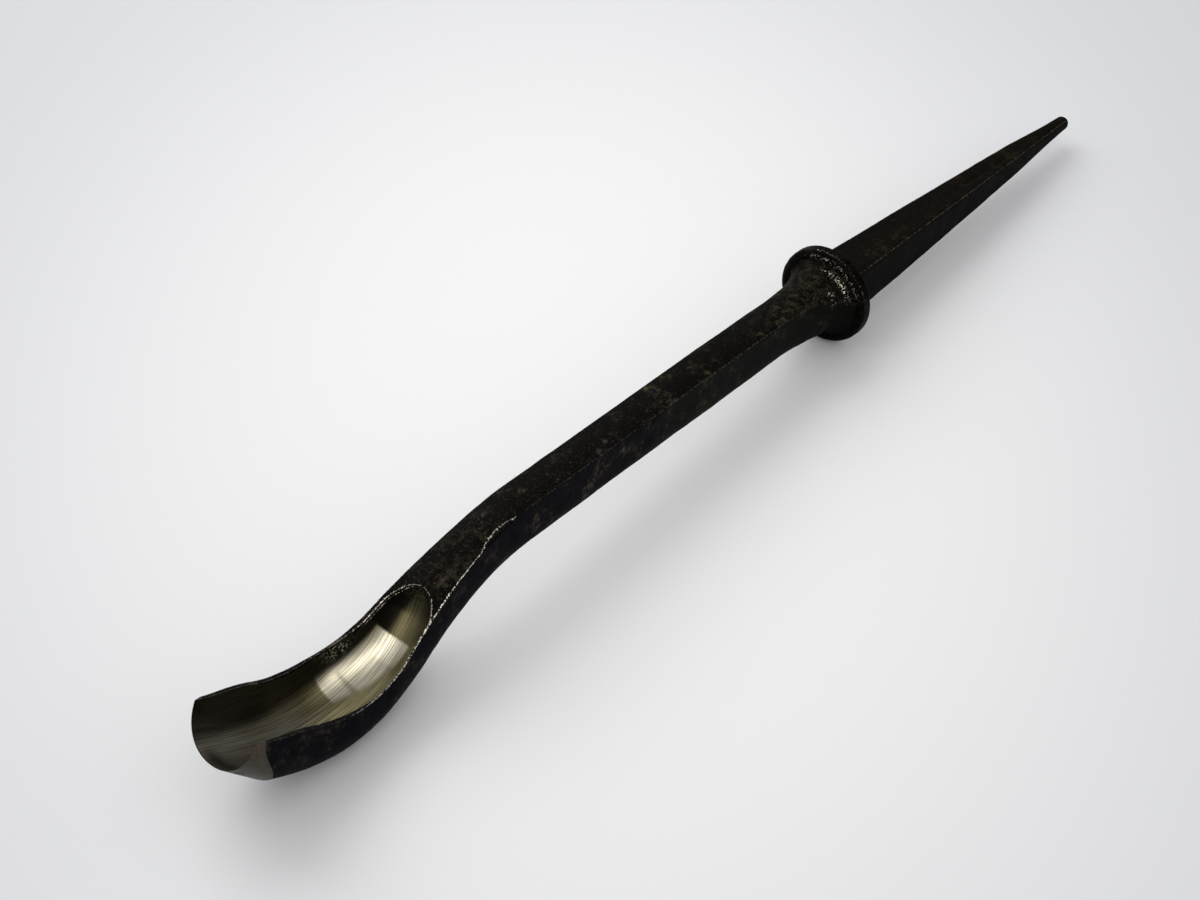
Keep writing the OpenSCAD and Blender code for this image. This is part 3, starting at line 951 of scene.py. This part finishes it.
def forge_scale_material(name, top, side, speck, speckle, roughness, bump):
    """Forge scale, the fire's black iron oxide: it looks near black, matt, mottled, bright where rubbed, with
    painted glints.
    """
    made, tree, here, upper, gap, shine, glint, blotch = new_material(
        name, "upper", "from_edge", "shine", "glint", "blotch")
    mottle = add(tree, NOISE, {"Scale": per_mm(1.2), "Detail": 6.0, "Roughness": 0.72}, {"Vector": here})
    cloud = add(tree, NOISE, {"Scale": per_mm(3.5), "Detail": 3.0, "Roughness": 0.5}, {"Vector": here})
    grit = add(tree, NOISE, {"Scale": per_mm(0.3), "Detail": 2.0, "Roughness": 0.7}, {"Vector": here})
    # Oxide of a paler tone comes through in mottled clouds, and wherever a blotch is wanted
    tone = add(tree, RANGE, {LOW: 0.47, HIGH: 0.72}, {0: mottle})
    patchy = add(tree, RANGE, {LOW: 0.5, HIGH: 0.68}, {0: cloud})
    wanted = add(tree, MATH, {"operation": "MAXIMUM"}, {0: patchy, 1: blotch})
    clouded = add(tree, MATH, {"operation": "MULTIPLY"}, {0: tone, 1: wanted})
    amount = add(tree, MATH, {"operation": "MULTIPLY", 1: speckle}, {0: clouded})
    # Top and sides differ in colour partly as real dust and partly as painted light: a bluish side is a
    # painted reflection
    base = add(tree, MIX, {"data_type": "RGBA", COLOUR_A: colour(side), COLOUR_B: colour(top)}, {0: upper})
    mottled = add(tree, MIX, {"data_type": "RGBA", COLOUR_B: colour(speck)}, {
        0: amount, COLOUR_A: base.outputs[MIXED]})
    # Fine specks show on tops more than on sides, partly as real dust and partly as painted light
    specks = add(tree, RANGE, {LOW: 0.6, HIGH: 0.78}, {0: grit})
    on_top = add(tree, MATH, {"operation": "MULTIPLY_ADD", 1: 0.4, 2: 0.15}, {0: upper})
    on_blotch = add(tree, MATH, {"operation": "MULTIPLY_ADD", 1: 0.2}, {0: blotch, 2: on_top})
    speck_share = add(tree, MATH, {"operation": "MULTIPLY"}, {0: specks, 1: on_blotch})
    spotted = add(tree, MIX, {"data_type": "RGBA", COLOUR_B: colour(speck)}, {
        0: speck_share, COLOUR_A: mottled.outputs[MIXED]})
    # The rubbed line is a few tenths of a mm wide and breaks up like grit
    ragged = add(tree, RANGE, {LOW: 0.36, HIGH: 0.64, AT_LOW: -0.1, AT_HIGH: 0.22}, {0: grit})
    reach = add(tree, MATH, {"operation": "ADD"}, {0: gap, 1: ragged})
    line = add(tree, RANGE, {LOW: 0.03, HIGH: 0.13, AT_LOW: 1.0, AT_HIGH: 0.0}, {0: reach})
    rubbed = add(tree, MATH, {"operation": "MULTIPLY"}, {0: line, 1: shine})
    # Painted glints: pale grains of bare metal where the glint layer says light catches the surface
    grains = add(tree, RANGE, {LOW: 0.57, HIGH: 0.64}, {0: grit})
    glints = add(tree, MATH, {"operation": "MULTIPLY"}, {0: grains, 1: glint})
    worn = add(tree, MATH, {"operation": "MAXIMUM"}, {0: rubbed, 1: glints})
    rough = add(tree, RANGE, {LOW: 0.3, HIGH: 0.7, AT_LOW: roughness - 0.08, AT_HIGH: roughness + 0.12}, {
        0: mottle})
    height = add(tree, MATH, {"operation": "ADD"}, {0: grit, 1: mottle})
    relief = add(tree, "ShaderNodeBump", {"Strength": bump, "Distance": 0.03 * MM}, {"Height": height})
    # Scale has next to no gloss. The metal that shows where it is rubbed off is pale and half dull, and the
    # painted glints use it too.
    scale = add(tree, PRINCIPLED, {"Specular IOR Level": 0.02, "IOR": 1.5}, {
        "Base Color": spotted.outputs[MIXED], "Roughness": rough, "Normal": relief})
    bare = add(tree, PRINCIPLED, {"Base Color": colour("#e2dccd"), "Metallic": 0.55, "Roughness": 0.4}, {
        "Normal": relief})
    surface = add(tree, "ShaderNodeMixShader", {}, {0: worn, 1: scale, 2: bare})
    add(tree, "ShaderNodeOutputMaterial", {}, {"Surface": surface})
    return made


def ground_steel_material(name, steel, dull, roughness, spread, along_mm, across_mm, bump):
    """Ground tool steel: bare metal with fine scratches along the grind, which spread its shine across."""
    made, tree, here, blotch, smudge_and_shade, ground = new_material(name, "blotch", "smudge_and_shade", "ground")
    grain = add(tree, "ShaderNodeUVMap", {"uv_map": "Grain"})
    fine = add(tree, "ShaderNodeMapping", {"Scale": (1 / along_mm, 1 / across_mm, 1.0)}, {"Vector": grain})
    scratch = add(tree, NOISE, {"Scale": 1.0, "Detail": 3.0, "Roughness": 0.7}, {"Vector": fine})
    broad = add(tree, "ShaderNodeMapping", {"Scale": (0.6 / along_mm, 0.4 / across_mm, 1.0)}, {
        "Vector": grain})
    stripes = add(tree, NOISE, {"Scale": 1.0, "Detail": 3.0, "Roughness": 0.6}, {"Vector": broad})
    tone = add(tree, RANGE, {LOW: 0.38, HIGH: 0.62}, {0: stripes})
    # The brighter steel tone here also paints the hollow's reflection and highlight
    steel_share = add(tree, MATH, {"operation": "MULTIPLY_ADD", 1: -0.2}, {0: tone, 2: ground})
    metal = add(tree, MIX, {"data_type": "RGBA", COLOUR_A: colour(dull), COLOUR_B: colour(steel)}, {
        0: steel_share})
    line = add(tree, RANGE, {LOW: 0.42, HIGH: 0.6, AT_HIGH: 0.8}, {0: scratch})
    lined = add(tree, MIX, {"data_type": "RGBA", "blend_type": "MULTIPLY", COLOUR_B: colour("#8a877e")}, {
        0: line, COLOUR_A: metal.outputs[MIXED]})
    rough = add(tree, RANGE, {LOW: 0.3, HIGH: 0.7, AT_LOW: roughness - 0.04, AT_HIGH: roughness + 0.06}, {
        0: scratch})
    relief = add(tree, "ShaderNodeBump", {"Strength": bump, "Distance": 0.02 * MM}, {"Height": scratch})
    tangent = add(tree, "ShaderNodeTangent", {"direction_type": "UV_MAP", "uv_map": "Grain"})
    bright = add(tree, PRINCIPLED, {"Metallic": 1.0, "Anisotropic": spread, "Anisotropic Rotation": 0.25}, {
        "Base Color": lined.outputs[MIXED], "Roughness": rough, "Normal": relief, "Tangent": tangent})
    # Places the wheel missed and smudges of oil stay dark, as does the painted shade on the far wall and
    # blunt end, and the missed ones show pale flecks
    stain = add(tree, NOISE, {"Scale": per_mm(1.2), "Detail": 5.0, "Roughness": 0.6}, {"Vector": here})
    stained = add(tree, RANGE, {LOW: 0.36, HIGH: 0.5}, {0: stain})
    missed = add(tree, MATH, {"operation": "MULTIPLY"}, {0: stained, 1: blotch})
    dark = add(tree, MATH, {"operation": "MAXIMUM"}, {0: missed, 1: smudge_and_shade})
    grit = add(tree, NOISE, {"Scale": per_mm(0.35), "Detail": 2.0, "Roughness": 0.7}, {"Vector": here})
    grains = add(tree, RANGE, {LOW: 0.52, HIGH: 0.6, AT_HIGH: 0.8}, {0: grit})
    flecks = add(tree, MATH, {"operation": "MULTIPLY"}, {0: grains, 1: blotch})
    skin = add(tree, MIX, {"data_type": "RGBA", COLOUR_A: colour("#0d0b08"), COLOUR_B: colour("#b3ab98")}, {
        0: flecks})
    scale_oil_and_shade = add(tree, PRINCIPLED, {"Roughness": 0.5, "Specular IOR Level": 0.02}, {
        "Base Color": skin.outputs[MIXED]})
    surface = add(tree, "ShaderNodeMixShader", {}, {0: dark, 1: bright, 2: scale_oil_and_shade})
    add(tree, "ShaderNodeOutputMaterial", {}, {"Surface": surface})
    return made


def paper_light_pool_material():
    """Matt white paper with a painted pool of light: a little darker and cooler away from its middle."""
    made, tree, here = new_material("matt_paper_painted_light_pool")
    far = add(tree, "ShaderNodeVectorMath", {"operation": "LENGTH"}, {0: here}).outputs["Value"]
    square = add(tree, MATH, {"operation": "POWER", 1: 2.0}, {0: far})
    # Painted light: the paper darkens away from the middle as if the light fell off
    light_falloff = add(tree, MATH, {"operation": "TANH"}, {0: square})
    tint = add(tree, MIX, {"data_type": "RGBA", COLOUR_A: colour("#f4f4f3"), COLOUR_B: colour("#cdced0")}, {
        0: light_falloff})
    skin = add(tree, PRINCIPLED, {"Roughness": 0.9, "Specular IOR Level": 0.1}, {
        "Base Color": tint.outputs[MIXED]})
    add(tree, "ShaderNodeOutputMaterial", {}, {"Surface": skin})
    return made


# The blade's scale is warm brown-black on top and bluish on its sides, with the palest mottling; its bluish
# sides are partly a painted reflection. The shank's is a little greener and more mottled. The collar's is the
# blackest and shiniest, with the roughest relief. The tang's is browner and the dullest, because it has no
# oil.
blade_scale = forge_scale_material(
    "oiled_forge_scale_blade", top="#0a0806", side="#030208", speck="#5f5747",
    speckle=0.6, roughness=0.5, bump=0.7)
shank_scale = forge_scale_material(
    "oiled_forge_scale_shank", top="#090706", side="#0b0c0a", speck="#544e38",
    speckle=0.66, roughness=0.5, bump=0.7)
collar_scale = forge_scale_material(
    "oiled_forge_scale_collar", top="#050403", side="#050403", speck="#3c3428",
    speckle=0.6, roughness=0.42, bump=0.9)
tang_scale = forge_scale_material(
    "dull_forge_scale_tang", top="#0e0b07", side="#0b0a0b", speck="#423a29",
    speckle=0.65, roughness=0.6, bump=0.7)
# The hollow is bright warm steel with long scratches from end to end. The bevel is darker and duller, with
# short ones. The scratches are drawn 0.12 mm wide, coarser than real ones, which are too fine to show.
hollow_steel = ground_steel_material(
    "ground_tool_steel_hollow", steel="#efeada", dull="#7d7659",
    roughness=0.33, spread=0.85, along_mm=12.0, across_mm=0.12, bump=1.0)
bevel_steel = ground_steel_material(
    "ground_tool_steel_bevel", steel="#645d50", dull="#38332b",
    roughness=0.42, spread=0.5, along_mm=1.5, across_mm=0.12, bump=0.4)


# ---- pieces on the frame

blade, shank, bolster, tang = make_blade(), make_shank(), make_bolster(), make_tang()

for piece, node, slot, finishes in (
    (blade, "blade", "blade_steel", (blade_scale, hollow_steel, bevel_steel)),
    (shank, "shank", "shank_iron", (shank_scale,)),
    (bolster, "bolster", "bolster_iron", (collar_scale,)),
    (tang, "tang", "tang_iron", (tang_scale,)),
):
    for finish in finishes:
        piece.data.materials.append(finish)
    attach(piece, "root")
    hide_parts(node)


# ---- camera, floor and light

PICTURE_W, PICTURE_H = 1200, 900
SENSOR_W = 36.0
FOCAL_PX = 2300
# The view's angles in radians, and the depth in mm of AIM, on the bar's line at the bolster's back
VIEW_DOWN = 0.7146485
VIEW_TURN = 0.8750029
VIEW_FAR = 364.252
AIM_PX = (828.819, 291.182)
AIM = np.array([-MIDDLE, 0, LIFT])
FLOOR_MIDDLE_PX = (585, 440)

right = np.array([math.cos(VIEW_TURN), -math.sin(VIEW_TURN), 0])
ahead = np.array([math.sin(VIEW_TURN), math.cos(VIEW_TURN), 0])
forward = ahead * math.cos(VIEW_DOWN) - np.array([0, 0, 1]) * math.sin(VIEW_DOWN)
above = np.cross(right, forward)


def ray(px):
    """Direction in which a pixel is seen, one unit deep."""
    return ((px[0] - PICTURE_W / 2) * right - (px[1] - PICTURE_H / 2) * above) / FOCAL_PX + forward


eye = AIM - ray(AIM_PX) * VIEW_FAR
camera_data = bpy.data.cameras.new("camera")
camera_data.sensor_width = SENSOR_W
camera_data.lens = SENSOR_W * FOCAL_PX / PICTURE_W
camera_data.clip_start = 0.01
camera = new_object("camera", camera_data)
facing = Matrix((right, above, -forward)).transposed().to_4x4()
camera.matrix_world = Matrix.Translation(Vector(eye * MM)) @ facing
bpy.context.scene.camera = camera

middle_ray = ray(FLOOR_MIDDLE_PX)
floor_middle = eye - middle_ray * eye[2] / middle_ray[2]

# The sheet's own axes follow the view and measure the reach of its painted pool of light, which is round as
# seen
LIGHT_POOL_W_M, LIGHT_POOL_DEPTH_M = 0.111, 0.17
SHEET_HALF_W, SHEET_HALF_DEPTH = 40, 30
sheet = bmesh.new()
bmesh.ops.create_grid(sheet, x_segments=8, y_segments=8, size=1.0)
floor_mesh = bpy.data.meshes.new("floor")
sheet.to_mesh(floor_mesh)
sheet.free()
floor_mesh.transform(Matrix.Diagonal((SHEET_HALF_W, SHEET_HALF_DEPTH, 1, 1)))
floor_mesh.materials.append(paper_light_pool_material())
floor = new_object("floor", floor_mesh)
sheet_axes = Matrix((right, ahead, (0, 0, 1))).transposed().to_4x4()
sheet_scale = Matrix.Diagonal((LIGHT_POOL_W_M, LIGHT_POOL_DEPTH_M, 1, 1))
floor.matrix_world = Matrix.Translation(Vector(floor_middle * MM)) @ sheet_axes @ sheet_scale


def softbox(name, azimuth, elevation, far, width, height, power, tint):
    """A rectangular lamp that faces the origin. Angles are in degrees, sizes in metres, power in watts."""
    a, e = math.radians(azimuth), math.radians(elevation)
    data = bpy.data.lights.new(name, "AREA")
    data.shape = "RECTANGLE"
    data.size, data.size_y = width, height
    data.energy = power
    data.color = colour(tint)[:3]
    lamp = new_object(name, data)
    outward = Vector((math.cos(a) * math.cos(e), math.sin(a) * math.cos(e), math.sin(e)))
    lamp.location = outward * far
    lamp.rotation_euler = outward.to_track_quat("Z", "Y").to_euler()
    return lamp


softbox("back_softbox", azimuth=70, elevation=42, far=0.9, width=0.9, height=0.7, power=4.2, tint="#ffffff")
# A long card beside the camera, for metal to mirror: it shows in gloss only and gives matt surfaces no light
card = softbox(
    "bounce_card", azimuth=-122, elevation=45, far=0.9, width=1.9, height=0.5, power=8.0, tint="#fffbee")
card.visible_diffuse = False

# A white dome lights matt surfaces evenly, and is a little brighter where the camera sees it. Reflections
# get a dimmer one, graded from one side to the other, because metal would mirror a plain one as flat white.
DOME_ON_MATT = 0.76
DOME_SEEN = 0.85
DOME_MIRRORED = 0.16, 0.55
BRIGHT_SIDE = (-0.45, -0.10, 0.89)
world = bpy.data.worlds.new("studio_dome")
world.use_nodes = True
bpy.context.scene.world = world
dome = world.node_tree
dome.nodes.clear()
towards = add(dome, "ShaderNodeTexCoord").outputs["Generated"]
lean = add(dome, "ShaderNodeVectorMath", {"operation": "DOT_PRODUCT", 1: BRIGHT_SIDE}, {0: towards})
dim, bright = DOME_MIRRORED
mirrored = add(dome, RANGE, {LOW: 0.1, HIGH: 0.95, AT_LOW: dim, AT_HIGH: bright}, {0: lean.outputs["Value"]})
paths = add(dome, "ShaderNodeLightPath").outputs
# Sockets 2 and 3 of a plain mix are its two values
unseen = add(dome, MIX, {"data_type": "FLOAT", 2: DOME_ON_MATT}, {0: paths["Is Glossy Ray"], 3: mirrored})
strength = add(dome, MIX, {"data_type": "FLOAT", 3: DOME_SEEN}, {0: paths["Is Camera Ray"], 2: unseen})
sky = add(dome, "ShaderNodeBackground", {"Color": colour("#fdfdff")}, {"Strength": strength})
add(dome, "ShaderNodeOutputWorld", {}, {"Surface": sky})

bpy.context.scene.view_settings.view_transform = "Standard"
